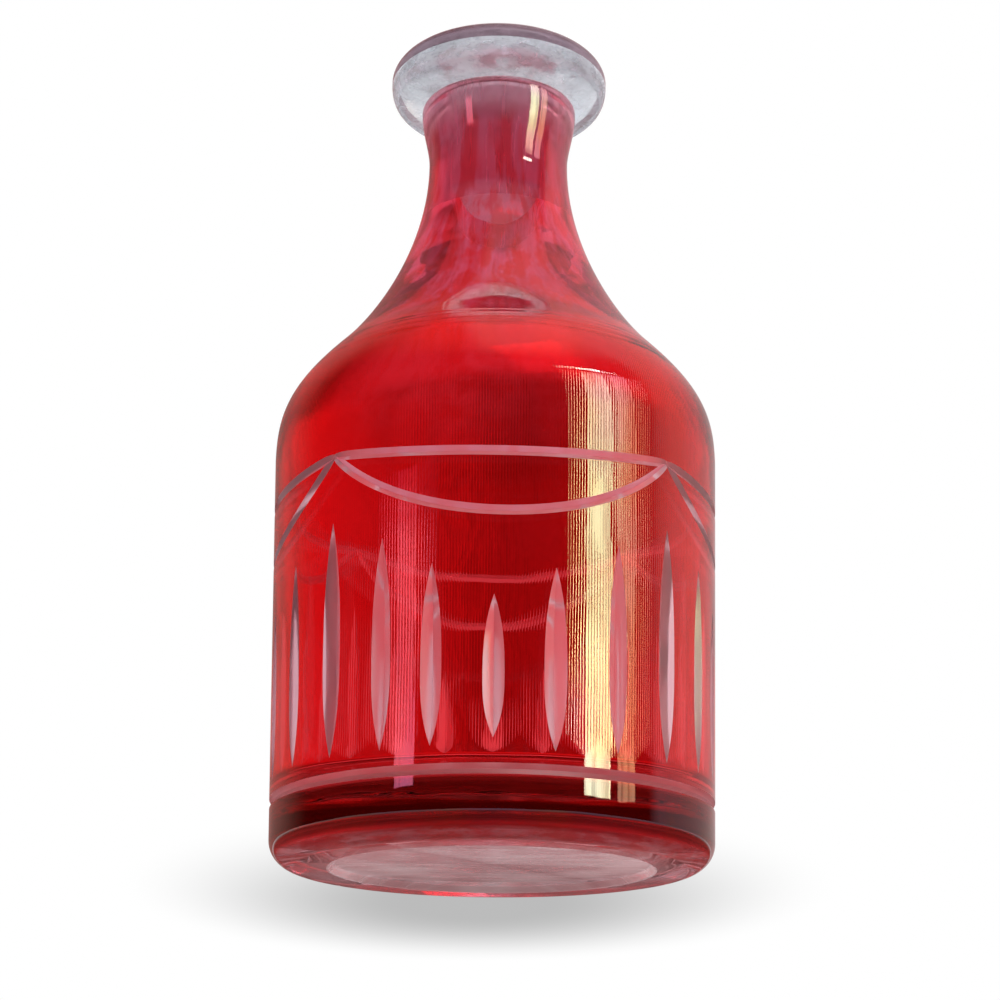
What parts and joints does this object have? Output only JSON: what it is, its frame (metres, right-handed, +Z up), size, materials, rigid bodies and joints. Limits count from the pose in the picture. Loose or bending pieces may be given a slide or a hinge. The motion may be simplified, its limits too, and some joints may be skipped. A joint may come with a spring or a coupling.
{
  "type": "decanter",
  "caption": "Cylindrical cut glass decanter with a sloping shoulder and narrow neck, and a disc-headed stopper that lifts out of its ground bore.",
  "frame": {"origin": "middle of the base, on the table", "axes": "+Z up along the decanter's own axis, -Y towards the middle of one swag"},
  "size_m": [0.1104, 0.1104, 0.2149],
  "materials": {
    "ruby_glass": "polished glass with a ruby stain on its outside, cut through to clear glass",
    "clear_glass": "polished clear glass, with a finely ground plug"
  },
  "bodies": {
    "decanter": {"decanter_body": "ruby_glass"},
    "stopper": {"stopper": "clear_glass"}
  },
  "joints": [
    {"name": "stopper_lift", "type": "slide", "parent": "decanter", "child": "stopper", "axis": [0, 0, 1], "range_m": [0, 0.045]}
  ]
}
